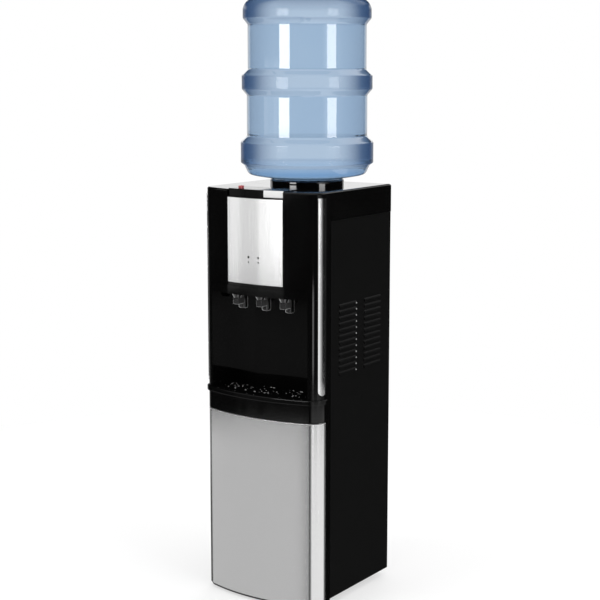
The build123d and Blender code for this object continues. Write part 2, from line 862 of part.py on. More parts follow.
def hinge_pin_bottom():
    post = upright(pin_radius, pin_x, pin_y, plinth_top, door_bottom + pin_length)
    return post + upright(pin_boss_radius, pin_x, pin_y, plinth_top, plinth_top + door_floor_gap / 2)


def catch_magnet():
    x1 = -(storage_width / 2 + 2 * seal_margin + seal_width)
    z = (storage_floor + storage_top) / 2
    half = magnet_length / 2
    return block(x1 - magnet_width, x1, y_door + swing_clearance, y_face, z - half, z + half)


def storage_liner():
    half = storage_width / 2
    y0 = y_face + moulding
    y1 = storage_back
    z0, z1 = storage_floor - moulding, storage_top + moulding
    box = wide(half + moulding, y0, y1, z0, z1)
    rim = wide(half + storage_flange, y0, y0 + moulding, z0, z1)
    return box + rim - wide(half, y0 - 1, y1 - moulding, storage_floor, storage_top)


def mid_shelf():
    half = half_width - sheet - face_gap
    y0, y1 = y_seam + 2 * sheet + face_gap, y_back - bead_depth - face_gap
    return wide(half, y0, y1, shelf_z, shelf_z + shelf_thick)


def pot_spots():
    dx, dy = pot_plate_width / 2 - mount_radius, pot_plate_depth / 2 - mount_radius
    return [(pot_x + sx * dx, y_pot + sy * dy) for sx in (-1, 1) for sy in (-1, 1)]


def compressor():
    """Welded steel pot with domed ends on a foot plate, with its terminal cover."""
    z0 = pot_base + pot_plate
    pot = upright(pot_radius, pot_x, y_pot, z0, z0 + pot_height)
    pot = fillet(pot.faces().sort_by(Axis.Z)[-1].edges(), pot_dome)
    pot = fillet(pot.faces().sort_by(Axis.Z)[0].edges(), pot_dome / 4)
    seam = z0 + pot_height / 2
    half_band = pot_band_height / 2
    pot += upright(pot_radius + pot_band, pot_x, y_pot, seam - half_band, seam + half_band)
    foot = RectangleRounded(pot_plate_width, pot_plate_depth, mount_radius)
    plate = Pos(pot_x, y_pot, pot_base) * extrude(foot, pot_plate)
    half = terminal_width / 2
    bite = pot_radius - sqrt(pot_radius**2 - half**2) + pot_band
    x0, x1 = pot_x + pot_radius - bite, pot_x + pot_radius + terminal_depth
    z1 = z0 + terminal_lift
    terminal = block(x0, x1, y_pot - half, y_pot + half, z1, z1 + terminal_height)
    terminal = fillet(terminal.edges().filter_by(Axis.X), terminal_round)
    top = z0 + pot_height
    stub = upright(2 * coil_tube_radius, pot_x, y_pot, top - 1, top + stub_height)
    return pot + plate + terminal + stub


def compressor_mounts():
    return Compound([upright(mount_radius, x, y, deck_top, pot_base) for x, y in pot_spots()])


def coil_path():
    """Serpentine of straight passes and half-round bends, with a tail down to the drier."""
    half = pass_length / 2
    bend = pass_pitch / 2
    edges = [Line((half, coil_y, coil_bottom), (-half, coil_y, coil_bottom))]
    side = -1
    for step in range(1, pass_count):
        z = coil_bottom + step * pass_pitch
        x = side * half
        crown = (x + side * bend, coil_y, z - bend)
        edges.append(ThreePointArc((x, coil_y, z - pass_pitch), crown, (x, coil_y, z)))
        edges.append(Line((x, coil_y, z), (-x, coil_y, z)))
        side = -side
    x = side * half
    tail_x = x + side * outlet_offset
    corner = outlet_offset * (1 - cos(pi / 4))
    tail_z = coil_top - outlet_offset
    elbow = (tail_x - side * corner, coil_y, coil_top - corner)
    edges.append(ThreePointArc((x, coil_y, coil_top), elbow, (tail_x, coil_y, tail_z)))
    edges.append(Line((tail_x, coil_y, tail_z), (tail_x, coil_y, drier_top)))
    return Wire(edges)


def condenser_tube():
    path = coil_path()
    start = Plane(origin=path @ 0, z_dir=path % 0)
    return sweep(start * Circle(coil_tube_radius), path)


def filter_drier():
    """Copper drier at the condenser's outlet, drawn in to a neck at both ends."""
    x = (pass_length / 2 + outlet_offset) * (-1) ** pass_count
    z0 = drier_top - drier_length
    neck = drier_neck
    can = upright(drier_radius, x, coil_y, z0 + neck, drier_top - neck)
    for z, low, high in ((drier_top - neck / 2, drier_radius, coil_tube_radius + drier_lip),
                         (z0 + neck / 2, coil_tube_radius, drier_radius)):
        can += Pos(x, coil_y, z) * Cone(low, high, neck)
    return can


def discharge_pipe():
    """Hot gas line from the compressor's stub out through the open back to the condenser."""
    top = pot_base + pot_plate + pot_height + stub_height
    run = back_bottom - discharge_drop
    half = pass_length / 2
    x_up = half + discharge_offset
    points = [(pot_x, y_pot, top), (pot_x, y_pot, run), (pot_x, coil_y, run), (x_up, coil_y, run),
              (x_up, coil_y, coil_bottom), (half, coil_y, coil_bottom)]
    return pipe(points, coil_tube_radius, discharge_bend)


def condenser_wires():
    """Round wires welded across both faces of the serpentine."""
    z0, z1 = coil_bottom - wire_overrun, coil_top + wire_overrun
    reach = coil_tube_radius + wire_radius + weld_gap
    wire = extrude(RegularPolygon(wire_radius, 6), z1 - z0)
    wires = []
    for step in range(wire_count):
        x = (step - (wire_count - 1) / 2) * wire_pitch
        if abs(x) > pass_length / 2 - wire_radius:
            continue
        wires += [Pos(x, coil_y + side * reach, z0) * wire for side in (-1, 1)]
    return Compound(wires)


def condenser_brackets():
    """Four stand-off straps between the back sheet and the wires."""
    y0 = y_back + sheet
    y1 = coil_y - coil_tube_radius - 2 * wire_radius - 2 * weld_gap
    half = bracket_width / 2
    straps = []
    for x in (-pass_length / 2 + half + wire_pitch, pass_length / 2 - half - wire_pitch):
        for z in (coil_bottom + pass_pitch / 2, coil_top - pass_pitch / 2):
            strap = block(x - half, x + half, y0, y1, z, z + bracket_thick)
            strap += block(x - half, x + half, y0, y0 + bracket_thick, z, z + bracket_width)
            y2 = y1 - bracket_thick
            strap += block(x - half, x + half, y2, y1, z - bracket_width, z + bracket_thick)
            straps.append(strap)
    return Compound(straps)


def switch_bezel():
    half_w = (rocker_width + switch_pitch) / 2 + bezel_margin
    half_h = rocker_height / 2 + bezel_margin
    x = port_x + switch_pitch / 2
    y1 = y_sheet + bezel_thick
    bezel = block(x - half_w, x + half_w, y_sheet, y1, switch_z - half_h, switch_z + half_h)
    bezel = fillet(bezel.edges().filter_by(Axis.Y), bezel_margin / 2)
    half_w, half_h = rocker_width / 2 + slip_gap, rocker_height / 2 + 2 * slip_gap
    for x in switch_x.values():
        bezel -= block(x - half_w, x + half_w, y_back, y1 + 1, switch_z - half_h, switch_z + half_h)
        bezel += along_x(rocker_pin, y_sheet + bezel_thick / 2, switch_z, x - half_w, x + half_w)
    return bezel


def rocker(x):
    """Rocker button with a shallow V face, resting on its off side."""
    half = rocker_height / 2
    y0, y1 = -rocker_depth / 2, bezel_thick / 2 + rocker_proud
    points = [(y0, -half), (y1, -half), (y1 - rocker_dip, 0), (y1, half), (y0, half)]
    face = Plane.YZ * (make_face(Polyline(*points, close=True)) - Circle(rocker_pin + running_fit))
    body = extrude(face, rocker_width / 2, both=True)
    return Pos(x, y_sheet + bezel_thick / 2, switch_z) * Rot(-rocker_tilt, 0, 0) * body


def drain_spout():
    spout = along_y(drain_flange, -port_x, drain_z, y_sheet, y_sheet + moulding)
    spout += along_y(drain_radius - running_fit, -port_x, drain_z, y_back, y_sheet + drain_length)
    return spout - along_y(drain_radius - moulding, -port_x, drain_z, y_back - 1, y_rear + drain_length)


def drain_cap():
    y1 = y_sheet + drain_length + moulding + face_gap
    y0 = y1 - drain_cap_length
    cap = along_y(drain_cap_radius, -port_x, drain_z, y0, y1)
    cap = fillet(cap.faces().sort_by(Axis.Y)[-1].edges(), moulding / 2)
    tool = Rot(90, 0, 0) * Cylinder(cap_groove_radius, 2 * drain_cap_length)
    tool = Pos(drain_cap_radius, 0, 0) * tool
    middle = Pos(-port_x, (y0 + y1) / 2, drain_z)
    grooves = [middle * Rot(0, step * 360 / cap_grooves, 0) * tool for step in range(cap_grooves)]
    return cap - grooves - along_y(drain_radius, -port_x, drain_z, y0 - 1, y1 - moulding)


def cord_gland():
    gland = along_y(gland_flange, port_x, drain_z, y_sheet, y_sheet + moulding)
    sleeve = gland_radius - running_fit
    gland += along_y(sleeve, port_x, drain_z, y_back - moulding, y_sheet + 3 * moulding)
    return gland - along_y(gland_hole, port_x, drain_z, y_back - 2 * moulding, y_rear + 4 * moulding)


def panel_screws():
    heads = []
    pitch = (cover_seam - back_bottom - 2 * flange_width) / (screw_rows - 1)
    for row in range(screw_rows):
        z = back_bottom + flange_width + row * pitch
        for x in (-half_width + flange_width / 2, half_width - flange_width / 2):
            head = along_y(screw_radius, x, z, y_rear, y_rear + screw_head)
            heads.append(fillet(head.faces().sort_by(Axis.Y)[-1].edges(), screw_head / 2))
    return Compound(heads)


def bottle_line():
    """Half outline from the neck's mouth over shoulder, bands and waists to the dished base."""
    knee_z = seat_z + (shoulder_radius - seat_radius) * shoulder_slope
    root_z = seat_z - (seat_radius - neck_radius) * shoulder_slope
    floor_z = bottle_top - base_dish
    points = [(neck_radius, neck_mouth), (neck_radius, root_z), (shoulder_radius, knee_z),
              (step_radius, seat_z + band_starts[0] - step_drop)]
    rounds = [neck_round, shoulder_round, step_round]
    for step, radius in enumerate(band_radii):
        points.append((radius, seat_z + band_starts[step]))
        if step < len(waist_radii):
            waist, end = waist_radii[step], seat_z + band_ends[step]
            points += [(radius, end), (waist, end + band_slope)]
            points.append((waist, seat_z + band_starts[step + 1] - band_slope))
    rounds += [band_round] * (len(points) - len(rounds) - 1)
    points += [(band_radii[-1], bottle_top), (base_ring, bottle_top),
               (base_ring - base_dish, floor_z), (0, floor_z)]
    rounds += [base_round, band_round, band_round]
    return FilletPolyline(*points, radius=rounds)


def bottle_section():
    """Half section of the blow-moulded wall, even all over and open at the mouth."""
    axis = Line((0, bottle_top - base_dish), (0, neck_mouth))
    mouth = Line((0, neck_mouth), (neck_radius, neck_mouth))
    half = make_face([bottle_line(), axis, mouth])
    whole = half + mirror(half, about=Plane.YZ)
    inside = offset(whole, -bottle_wall, kind=Kind.INTERSECTION)
    inside += Pos(0, neck_mouth) * Rectangle(2 * (neck_radius - bottle_wall), 4 * bottle_wall)
    return half - inside


def turned(section, arc=360, start=0):
    """Section swept round the bottle's axis."""
    return Pos(0, y_bottle, 0) * Rot(0, 0, start) * revolve(Plane.XZ * section, Axis.Z, arc)


def quarters(section):
    """Four quarters that meet on the diagonals, so that none of them closes round the water."""
    return Compound([turned(section, 90, 45 + 90 * step).solid() for step in range(4)])


def bottle_lengths():
    """The bottle in three lengths, so that each keeps its hollow: neck, banded wall and base."""
    section = bottle_section()
    reach = 2 * max(band_radii)

    def cut(low, high):
        return section & Pos(0, (low + high) / 2) * Rectangle(reach, high - low)

    low = seat_z + neck_part
    high = bottle_top - base_part
    return {
        "bottle_neck": turned(cut(neck_mouth - 1, low)),
        "bottle": quarters(cut(low, high)),
        "bottle_base": turned(cut(high, bottle_top + 1)),
    }


def bottle_cap():
    """Cap pushed on the neck, in quarters round the hole that the feed probe has made."""
    z0 = neck_mouth - cap_wall - running_fit
    hole = probe_radius + cap_hole_clear
    inner = neck_radius + running_fit
    outer = inner + cap_wall
    line = [(hole, z0), (outer, z0), (outer, z0 + cap_length), (inner, z0 + cap_length),
            (inner, z0 + cap_wall), (hole, z0 + cap_wall)]
    section = make_face(Polyline(*line, close=True))
    corner = section.vertices().sort_by(Axis.Y)[:2].sort_by(Axis.X)[-1]
    return quarters(fillet(corner, cap_round))


def main():
    save("base_tray", base_tray())
    save("feet", feet())
    right = side_panel()
    save("side_panel_right", right)
    save("side_panel_left", mirrored(right))
    save("back_panel", back_panel())
    save("top_cover", top_cover())
    save("bottle_collar", bottle_collar())
    save("feed_probe", feed_probe())
    save("cold_tank", cold_tank())
    save("tank_foam", tank_foam())
    save("hot_tank", hot_tank())
    save("front_frame", front_frame())
    save("upper_fascia", upper_fascia())
    save("control_panel", control_panel())
    save("led_lenses", led_lenses())
    save("led_board", led_board())
    strip = trim_strip()
    save("trim_strips", Compound([strip, mirrored(strip)]))
    save("bay_liner", bay_liner())
    for name, x in tap_x.items():
        save(f"tap_{name}", tap(x))
        save(f"rod_{name}", push_rod(x))
        save(f"tube_{name}", hot_tube() if name == "hot" else tap_tube(x))
        save(f"key_{name}", key(name))
    save("tap_nuts", tap_nuts())
    save("child_lock", child_lock())
    save("key_shaft", key_shaft())
    save("drip_tray", drip_tray())
    save("drip_grille", drip_grille())
    save("door_panel", door_panel())
    save("door_liner", door_liner())
    save("door_seal", door_seal())
    save("hinge_pins", Compound([hinge_pin_top(), hinge_pin_bottom()]))
    save("catch_magnet", catch_magnet())
    save("storage_liner", storage_liner())
    save("mid_shelf", mid_shelf())
    save("compressor", compressor())
    save("compressor_mounts", compressor_mounts())
    save("condenser_tube", condenser_tube())
    save("condenser_wires", condenser_wires())
    save("condenser_brackets", condenser_brackets())
    save("filter_drier", filter_drier())
    save("discharge_pipe", discharge_pipe())
    save("switch_bezel", switch_bezel())
    for name, x in switch_x.items():
        save(f"switch_{name}", rocker(x))
    save("drain_spout", drain_spout())
    save("drain_cap", drain_cap())
    save("cord_gland", cord_gland())
    save("panel_screws", panel_screws())
    for name, length in bottle_lengths().items():
        save(name, length)
    save("bottle_cap", bottle_cap())


main()
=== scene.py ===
import json
from math import cos, pi, radians, sin

import bmesh
import bpy
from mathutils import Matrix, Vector
from mathutils.bvhtree import BVHTree


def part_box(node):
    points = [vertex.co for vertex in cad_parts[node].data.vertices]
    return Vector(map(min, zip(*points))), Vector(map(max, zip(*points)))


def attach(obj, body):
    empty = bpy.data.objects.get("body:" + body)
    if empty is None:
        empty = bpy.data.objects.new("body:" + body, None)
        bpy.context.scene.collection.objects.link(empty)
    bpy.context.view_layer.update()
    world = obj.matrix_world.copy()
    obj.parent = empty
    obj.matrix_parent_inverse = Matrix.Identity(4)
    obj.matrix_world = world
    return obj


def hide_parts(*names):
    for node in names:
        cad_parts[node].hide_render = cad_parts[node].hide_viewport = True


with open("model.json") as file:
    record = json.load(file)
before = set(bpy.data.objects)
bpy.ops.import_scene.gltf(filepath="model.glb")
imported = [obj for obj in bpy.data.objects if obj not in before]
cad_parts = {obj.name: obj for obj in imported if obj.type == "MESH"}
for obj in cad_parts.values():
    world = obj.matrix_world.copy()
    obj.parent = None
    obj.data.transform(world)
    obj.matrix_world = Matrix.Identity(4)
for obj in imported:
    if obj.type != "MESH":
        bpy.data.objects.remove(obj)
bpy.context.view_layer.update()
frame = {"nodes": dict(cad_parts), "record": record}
nodes = frame["nodes"]
print("frame loaded with", len(nodes), "nodes")


# Camera
cameraSettings = {
    "place": (1.70022, -2.52330, 1.10679),
    "yaw": 33.9854,        # degrees from straight ahead, turning left
    "pitch": 9.2711,       # degrees down
    "lens": 88.13,         # mm, like the sensor
    "sensor": 36.0,
    "near": 0.05,
    "far": 60.0,
}


def makeCamera(s):
    data = bpy.data.cameras.new("photoCamera")
    data.lens = s["lens"]
    data.sensor_width = s["sensor"]
    data.clip_start = s["near"]
    data.clip_end = s["far"]
    camera = bpy.data.objects.new("photoCamera", data)
    camera.location = s["place"]
    camera.rotation_euler = (radians(90 - s["pitch"]), 0, radians(s["yaw"]))
    bpy.context.scene.collection.objects.link(camera)
    bpy.context.scene.camera = camera


makeCamera(cameraSettings)
bpy.context.scene.view_settings.view_transform = "Standard"
print("camera placed")


# Small tools for node trees
# a colour mix has its sockets behind those of the other data types
colourSockets = {"first": 6, "second": 7, "result": 2}


def addNode(tree, kind, **values):
    node = tree.nodes.new(kind)
    for key, value in values.items():
        setattr(node, key, value)
    return node


def feed(tree, value, socket):
    # a number or a colour is set, anything else is linked
    if isinstance(value, (int, float)):
        socket.default_value = value
    elif isinstance(value, tuple):
        socket.default_value = (*value, 1)
    else:
        tree.links.new(value, socket)


def mathNode(tree, operation, first, second=None):
    node = addNode(tree, "ShaderNodeMath", operation=operation)
    feed(tree, first, node.inputs[0])
    if second is not None:
        feed(tree, second, node.inputs[1])
    return node.outputs[0]


def rampValue(tree, value, low, high, outLow=0.0, outHigh=1.0):
    node = addNode(tree, "ShaderNodeMapRange", interpolation_type="SMOOTHSTEP")
    tree.links.new(value, node.inputs["Value"])
    node.inputs["From Min"].default_value = low
    node.inputs["From Max"].default_value = high
    node.inputs["To Min"].default_value = outLow
    node.inputs["To Max"].default_value = outHigh
    return node.outputs["Result"]


def windowMask(tree, value, low, high, first, last):
    # one between low and high, with a soft beginning and end
    rise = rampValue(tree, value, low - first, low + first)
    return mathNode(tree, "MULTIPLY", rise, rampValue(tree, value, high + last, high - last))


def mixValues(tree, factor, first, second):
    node = addNode(tree, "ShaderNodeMix", data_type="FLOAT")
    feed(tree, factor, node.inputs["Factor"])
    feed(tree, first, node.inputs["A"])
    feed(tree, second, node.inputs["B"])
    return node.outputs["Result"]


def mixColours(tree, factor, first, second):
    node = addNode(tree, "ShaderNodeMix", data_type="RGBA")
    feed(tree, factor, node.inputs["Factor"])
    feed(tree, first, node.inputs[colourSockets["first"]])
    feed(tree, second, node.inputs[colourSockets["second"]])
    return node.outputs[colourSockets["result"]]


def splitAxes(tree, value):
    node = addNode(tree, "ShaderNodeSeparateXYZ")
    tree.links.new(value, node.inputs[0])
    return node.outputs


def objectPlace(tree):
    return splitAxes(tree, addNode(tree, "ShaderNodeTexCoord").outputs["Object"])


def surfaceNormal(tree):
    return splitAxes(tree, addNode(tree, "ShaderNodeNewGeometry").outputs["Normal"])


def seenDirectly(tree):
    path = addNode(tree, "ShaderNodeLightPath")
    return mathNode(tree, "MAXIMUM", path.outputs["Is Camera Ray"], path.outputs["Is Transmission Ray"])


def shapeToObject(name, shape):
    mesh = bpy.data.meshes.new(name)
    shape.to_mesh(mesh)
    shape.free()
    made = bpy.data.objects.new(name, mesh)
    bpy.context.scene.collection.objects.link(made)
    return made


# Floor, background and lamps
stageSettings = {
    "floorRadius": 1.6,
    "floorSides": 96,
    "floorColour": (0.92, 0.92, 0.92),
    "floorGlow": 0.55,      # share of plain white in what the camera sees
    "ambient": 0.52,
    "glossDark": 0.012,     # what reflections see between the soft boxes
    "lampAim": (0, 0, 0.6),
}

# soft boxes that only reflections see: turn from +X and lift above level, in degrees,
# with how softly the turn begins and ends and how softly the lift does
softBoxSettings = {
    "bottleLeft": {"turn": (-111, -90), "lift": (-3.2, 5), "soft": (1.2, 1.2, 0.8), "glow": 15.0},
    "bottleRight": {"turn": (-18, 1), "lift": (-3.2, 5), "soft": (1.2, 1.2, 0.8), "glow": 10.0},
    "cornerRight": {"turn": (-24, 0), "lift": (-13.4, 2), "soft": (4, 25, 0.5), "glow": 1.1},
    "cornerDoor": {"turn": (-70, 40), "lift": (-89, -13.4), "soft": (8, 6, 0.5), "glow": 1.27},
    "panelRight": {"turn": (-123, -104.5), "lift": (-8.75, 0), "soft": (2, 0.6, 0.3), "glow": 1.18},
    "panelLeft": {"turn": (-146, -134), "lift": (-8.75, 0), "soft": (0.6, 4, 0.3), "glow": 1.02},
    "panelMiddle": {"turn": (-146, -104.5), "lift": (-8.75, 0), "soft": (0.6, 0.6, 0.3), "glow": 0.74},
    "tapFront": {"turn": (-62, -50), "lift": (-12.3, -8.8), "soft": (2, 2, 0.4), "glow": 4.0},
    "bayFront": {"turn": (-140, -108), "lift": (-13.0, -9.4), "soft": (2, 2, 0.4), "glow": 0.16},
    "doorFront": {"turn": (-175, -89.5), "lift": (-89, -13.9), "soft": (3, 5, 0.15), "glow": 0.71},
    "doorTop": {"turn": (-175, -89.5), "lift": (-15.0, -13.9), "soft": (3, 5, 0.15), "glow": 1.08},
    "rearLeft": {"turn": (92, 165), "lift": (3.5, 10), "soft": (4, 4, 0.8), "glow": 1.3},
    "rearLow": {"turn": (95, 165), "lift": (-16, -6), "soft": (4, 4, 1), "glow": 0.5},
    "rearBottle": {"turn": (90, 160), "lift": (-5.5, 3), "soft": (4, 4, 1), "glow": 0.6},
    "sideTop": {"turn": (20, 90), "lift": (20, 62), "soft": (5, 5, 5), "glow": 1.4},
    "frontHigh": {"turn": (-165, -20), "lift": (24, 48), "soft": (6, 6, 5), "glow": 0.8},
    "overhead": {"turn": (-179, 179), "lift": (48, 89), "soft": (1, 1, 8), "glow": 0.9},
}

lampSettings = {
    "frontLeft": {"place": (-1.6, -2.4, 2.3), "size": 2.2, "power": 46},
    "right": {"place": (2.6, -0.5, 1.7), "size": 2.0, "power": 34},
    "overhead": {"place": (0.2, 0.3, 3.0), "size": 2.4, "power": 30},
    "behind": {"place": (-0.8, 2.6, 1.8), "size": 2.0, "power": 30},
}


def makeFloor(s):
    shape = bmesh.new()
    bmesh.ops.create_circle(shape, cap_ends=True, segments=s["floorSides"], radius=s["floorRadius"])
    floor = shapeToObject("studioFloor", shape)
    floor.visible_glossy = False
    material = bpy.data.materials.new("floorWhite")
    material.use_nodes = True
    tree = material.node_tree
    tree.nodes.clear()
    paint = addNode(tree, "ShaderNodeBsdfDiffuse")
    feed(tree, s["floorColour"], paint.inputs["Color"])
    glow = addNode(tree, "ShaderNodeEmission")
    mix = addNode(tree, "ShaderNodeMixShader")
    tree.links.new(mathNode(tree, "MULTIPLY", seenDirectly(tree), s["floorGlow"]), mix.inputs[0])
    tree.links.new(paint.outputs[0], mix.inputs[1])
    tree.links.new(glow.outputs[0], mix.inputs[2])
    out = addNode(tree, "ShaderNodeOutputMaterial")
    tree.links.new(mix.outputs[0], out.inputs[0])
    floor.data.materials.append(material)


def makeWorld(s, boxes):
    world = bpy.data.worlds.new("studio")
    bpy.context.scene.world = world
    world.use_nodes = True
    tree = world.node_tree
    tree.nodes.clear()
    x, y, z = splitAxes(tree, addNode(tree, "ShaderNodeTexCoord").outputs["Generated"])
    turn = mathNode(tree, "ARCTAN2", y, x)
    lift = mathNode(tree, "ARCSINE", z)
    gloss = s["glossDark"]
    for b in boxes.values():
        begin, end, level = (radians(v) for v in b["soft"])
        turned = windowMask(tree, turn, *(radians(v) for v in b["turn"]), begin, end)
        lifted = windowMask(tree, lift, *(radians(v) for v in b["lift"]), level, level)
        glow = mathNode(tree, "MULTIPLY", mathNode(tree, "MULTIPLY", turned, lifted), b["glow"])
        gloss = mathNode(tree, "MAXIMUM", glow, gloss)
    path = addNode(tree, "ShaderNodeLightPath")
    light = mixValues(tree, path.outputs["Is Glossy Ray"], s["ambient"], gloss)
    back = addNode(tree, "ShaderNodeBackground")
    back.inputs["Color"].default_value = (1, 1, 1, 1)
    tree.links.new(mixValues(tree, seenDirectly(tree), light, 1.0), back.inputs["Strength"])
    out = addNode(tree, "ShaderNodeOutputWorld")
    tree.links.new(back.outputs[0], out.inputs[0])


def makeLamps(lamps, aim):
    for name, s in lamps.items():
        data = bpy.data.lights.new(name, "AREA")
        data.shape = "DISK"
        data.size = s["size"]
        data.energy = s["power"]
        lamp = bpy.data.objects.new(name, data)
        lamp.location = s["place"]
        lamp.rotation_euler = (Vector(aim) - Vector(s["place"])).to_track_quat("-Z", "Y").to_euler()
        lamp.visible_camera = False
        lamp.visible_glossy = False
        lamp.visible_transmission = False
        bpy.context.scene.collection.objects.link(lamp)


makeFloor(stageSettings)
makeWorld(stageSettings, softBoxSettings)
makeLamps(lampSettings, stageSettings["lampAim"])
print("stage lit")


# Effects that several finishes share: each gives a mask, and a value between low and high
noiseSettings = {
    # even fine speckle for moulded and sprayed surfaces
    "grain": {"group": "fineGrain", "noise": {"Detail": 3.0}, "ramp": (0.3, 0.7)},
    # wide soft patches left by wiping and handling
    "smudge": {"group": "handSmudge", "noise": {"Detail": 5.0, "Distortion": 0.6}, "ramp": (0.35, 0.75)},
    # fine upright lines of a brushed sheet
    "brushed": {
        "group": "brushedLines", "noise": {"Detail": 4.0}, "ramp": (0.3, 0.7), "stretch": (1.0, 1.0, 0.012),
    },
}


def newGroup(name):
    group = bpy.data.node_groups.new(name, "ShaderNodeTree")
    for way, labels in {"INPUT": ("Scale", "Low", "High"), "OUTPUT": ("Mask", "Value")}.items():
        for label in labels:
            group.interface.new_socket(label, in_out=way, socket_type="NodeSocketFloat")
    return group, addNode(group, "NodeGroupInput").outputs, addNode(group, "NodeGroupOutput").inputs


def giveEffect(tree, inside, outside, mask, tone):
    span = mathNode(tree, "SUBTRACT", inside["High"], inside["Low"])
    value = mathNode(tree, "ADD", inside["Low"], mathNode(tree, "MULTIPLY", tone, span))
    tree.links.new(mask, outside["Mask"])
    tree.links.new(value, outside["Value"])


def makeNoise(s):
    tree, inside, outside = newGroup(s["group"])
    place = addNode(tree, "ShaderNodeTexCoord").outputs["Object"]
    if "stretch" in s:
        stretch = addNode(tree, "ShaderNodeMapping")
        stretch.inputs["Scale"].default_value = s["stretch"]
        tree.links.new(place, stretch.inputs["Vector"])
        place = stretch.outputs[0]
    noise = addNode(tree, "ShaderNodeTexNoise")
    for label, value in s["noise"].items():
        noise.inputs[label].default_value = value
    tree.links.new(place, noise.inputs["Vector"])
    tree.links.new(inside["Scale"], noise.inputs["Scale"])
    mask = rampValue(tree, noise.outputs[0], *s["ramp"])
    giveEffect(tree, inside, outside, mask, mask)
    return tree


def makeCrystal():
    # crystal patches of galvanised sheet, also the beads of pressed foam
    tree, inside, outside = newGroup("crystalPatch")
    cells = addNode(tree, "ShaderNodeTexVoronoi")
    tree.links.new(addNode(tree, "ShaderNodeTexCoord").outputs["Object"], cells.inputs["Vector"])
    tree.links.new(inside["Scale"], cells.inputs["Scale"])
    tone = addNode(tree, "ShaderNodeSeparateColor")
    tree.links.new(cells.outputs["Color"], tone.inputs[0])
    giveEffect(tree, inside, outside, cells.outputs["Distance"], tone.outputs[0])
    return tree


effects = {name: makeNoise(s) for name, s in noiseSettings.items()}
effects["crystal"] = makeCrystal()
print("shared effects:", ", ".join(effects))


# Finishes, one for each slot of the record
optionSettings = {
    "bumpStrength": 0.5,
    "facingBlend": 0.5,
    "lineFade": 0.0003,     # half of the soft border of a painted line
    "frontFace": (-0.45, -0.7),     # how far a normal turns to the front
    "slotWall": (0.6, 0.3),     # how far a normal turns up or down
    "slotPatch": (0.86, 0.95),
    "spotCore": 0.6,        # share of a spot's radius that is fully painted
    "edgeCore": 0.8,        # share of a matt edge's depth where it is fully matt
    "placeDigits": 5,       # metres to a hundredth of a millimetre
}


def placeEffect(tree, effect, scale, low=0.0, high=1.0):
    node = addNode(tree, "ShaderNodeGroup", node_tree=effects[effect])
    node.inputs["Scale"].default_value = scale
    node.inputs["Low"].default_value = low
    node.inputs["High"].default_value = high
    return node.outputs


def aboveHeight(tree, height):
    fade = optionSettings["lineFade"]
    return rampValue(tree, objectPlace(tree)["Z"], height - fade, height + fade)


def facingRamp(tree, low, high):
    facing = addNode(tree, "ShaderNodeLayerWeight")
    facing.inputs["Blend"].default_value = optionSettings["facingBlend"]
    return rampValue(tree, facing.outputs["Facing"], low, high)


def addPaintedSheen(tree, base, s):
    # painted sheen: the colour turns pale towards the outline of small rounded parts, standing in for their
    # edge highlights
    return mixColours(tree, facingRamp(tree, *s["facing"]), base, s["colour"])


def addFacedWithGapShade(tree, base, s):
    # only the face towards the user is lacquered and the rest stays as moulded; the key's lowest part, up
    # to just above the panel's top, is painted dark as shade in the gap above the panel
    front = rampValue(tree, surfaceNormal(tree)["Y"], *optionSettings["frontFace"])
    above = aboveHeight(tree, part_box(s["over"])[1].z + s["edge"])
    return mixColours(tree, mathNode(tree, "MULTIPLY", front, above), s["colour"], base)


def addPaintedGlints(tree, base, s):
    # painted glints: the walls of small slots are painted pale here and there, standing in for highlights
    level = mathNode(tree, "ABSOLUTE", surfaceNormal(tree)["Z"])
    walls = rampValue(tree, level, *optionSettings["slotWall"])
    patch = rampValue(tree, placeEffect(tree, "crystal", s["scale"])["Value"], *optionSettings["slotPatch"])
    return mixColours(tree, mathNode(tree, "MULTIPLY", walls, patch), base, s["colour"])


def louvrePlaces(node):
    # louvres stand out furthest: the heights of their rows, and where both columns begin and end
    digits = optionSettings["placeDigits"]
    points = [[round(v, digits) for v in vertex.co] for vertex in nodes[node].data.vertices]
    outermost = max(x for x, y, z in points)
    rows = sorted({z for x, y, z in points if x == outermost})
    ends = sorted({y for x, y, z in points if x == outermost})
    return rows, ends


def addGlintSpots(tree, base, s):
    # painted highlights: a bright spot at one end of each louvre, standing in for glints
    rows, ends = louvrePlaces(s["node"])
    pitch = (rows[-1] - rows[0]) / (len(rows) - 1)
    place = objectPlace(tree)
    aside = mathNode(tree, "ABSOLUTE", mathNode(tree, "SUBTRACT", place["Y"], ends[1] - s["inset"]))
    row = mathNode(tree, "DIVIDE", mathNode(tree, "SUBTRACT", place["Z"], rows[0] + s["lift"]), pitch)
    apart = mathNode(tree, "MULTIPLY", mathNode(tree, "PINGPONG", row, 0.5), pitch)
    away = mathNode(tree, "MAXIMUM", aside, apart)
    spot = rampValue(tree, away, s["radius"], optionSettings["spotCore"] * s["radius"])
    fromMiddle = mathNode(tree, "ABSOLUTE", mathNode(tree, "SUBTRACT", row, (len(rows) - 1) / 2))
    onLouvre = mathNode(tree, "LESS_THAN", fromMiddle, len(rows) / 2)
    return mixColours(tree, mathNode(tree, "MULTIPLY", spot, onLouvre), base, s["colour"])


def addGapShadeLine(tree, base, s):
    # painted shade: the gap under the keys is painted as a dark line along the panel's upper edge
    return mixColours(tree, aboveHeight(tree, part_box(s["node"])[1].z - s["depth"]), base, s["colour"])


def addMattEdge(tree, rough, s):
    # the turned-over upper edge is left unpolished
    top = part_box(s["node"])[1].z
    core = optionSettings["edgeCore"] * s["depth"]
    edge = rampValue(tree, objectPlace(tree)["Z"], top - s["depth"], top - core)
    return mathNode(tree, "MAXIMUM", rough, mathNode(tree, "MULTIPLY", edge, s["rough"]))


